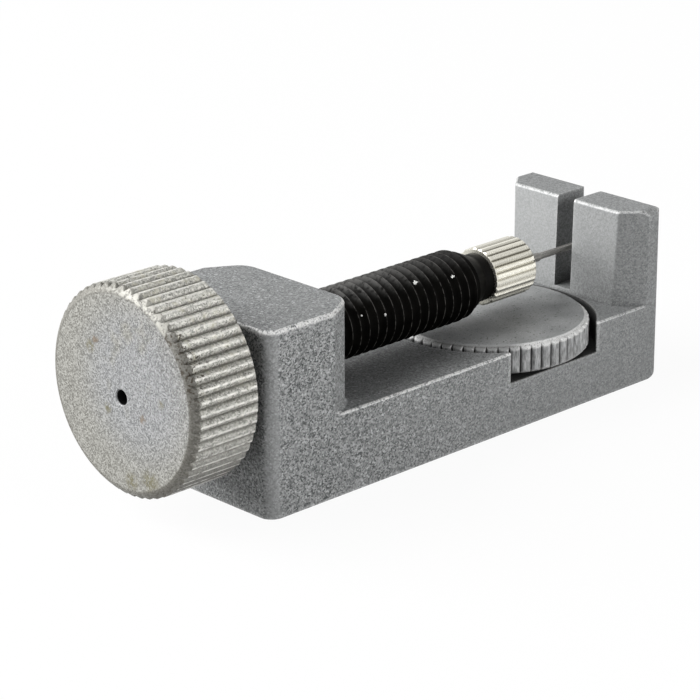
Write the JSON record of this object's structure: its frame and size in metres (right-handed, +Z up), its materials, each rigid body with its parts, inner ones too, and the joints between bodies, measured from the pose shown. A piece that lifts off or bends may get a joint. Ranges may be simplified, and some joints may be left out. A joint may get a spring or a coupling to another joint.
{
  "type": "watch link remover",
  "caption": "Bench tool for watch bracelets: a knurled knob drives a threaded screw and push pin through a block towards a slotted anvil, over a round height wheel sunk in the base.",
  "frame": {"origin": "centre of the casting's flat underside", "axes": "+X along the screw from the knob towards the anvil, +Y across the tool, +Z up"},
  "size_m": [0.0699, 0.0224, 0.0251],
  "materials": {
    "frame_paint": "fine-grained grey metallic paint over a casting, worn bright along its edges",
    "screw_oxide": "black oxide with a thin film of oil and light crests",
    "knob_metal": "dull grey plating, stained on the face, knurl polished by fingers",
    "cap_nickel": "warm bright nickel plating, knurled",
    "pin_steel": "hardened steel, satin",
    "wheel_steel": "smooth satin top with a bright notched rim",
    "stud_steel": "plain steel, satin"
  },
  "bodies": {
    "frame": {"frame": "frame_paint"},
    "push_pin": {"push_pin": "pin_steel"},
    "drive_screw": {"lead_screw": "screw_oxide", "knob": "knob_metal", "pin_cap": "cap_nickel"},
    "wheel_stud": {"wheel_stud": "stud_steel"},
    "height_wheel": {"height_wheel": "wheel_steel"}
  },
  "joints": [
    {"name": "pin_advance", "type": "slide", "parent": "frame", "child": "push_pin", "axis": [1, 0, 0], "range_m": [-0.025, 0.002]},
    {"name": "screw_turn", "type": "hinge", "parent": "push_pin", "child": "drive_screw", "pos_m": [0, 0, 0.014], "axis": [1, 0, 0], "range_deg": [-7202, 578]},
    {"name": "wheel_lift", "type": "slide", "parent": "frame", "child": "wheel_stud", "axis": [0, 0, 1], "range_m": [-0.00048, 0.00043]},
    {"name": "wheel_turn", "type": "hinge", "parent": "wheel_stud", "child": "height_wheel", "pos_m": [0.0123, 0, 0.00615], "axis": [0, 0, 1], "range_deg": [-248, 222.5]}
  ],
  "couplings": [
    {"joint": "screw_turn", "follows": "pin_advance", "rad_per_m": 5026.5},
    {"joint": "wheel_turn", "follows": "wheel_lift", "rad_per_m": 8976}
  ]
}
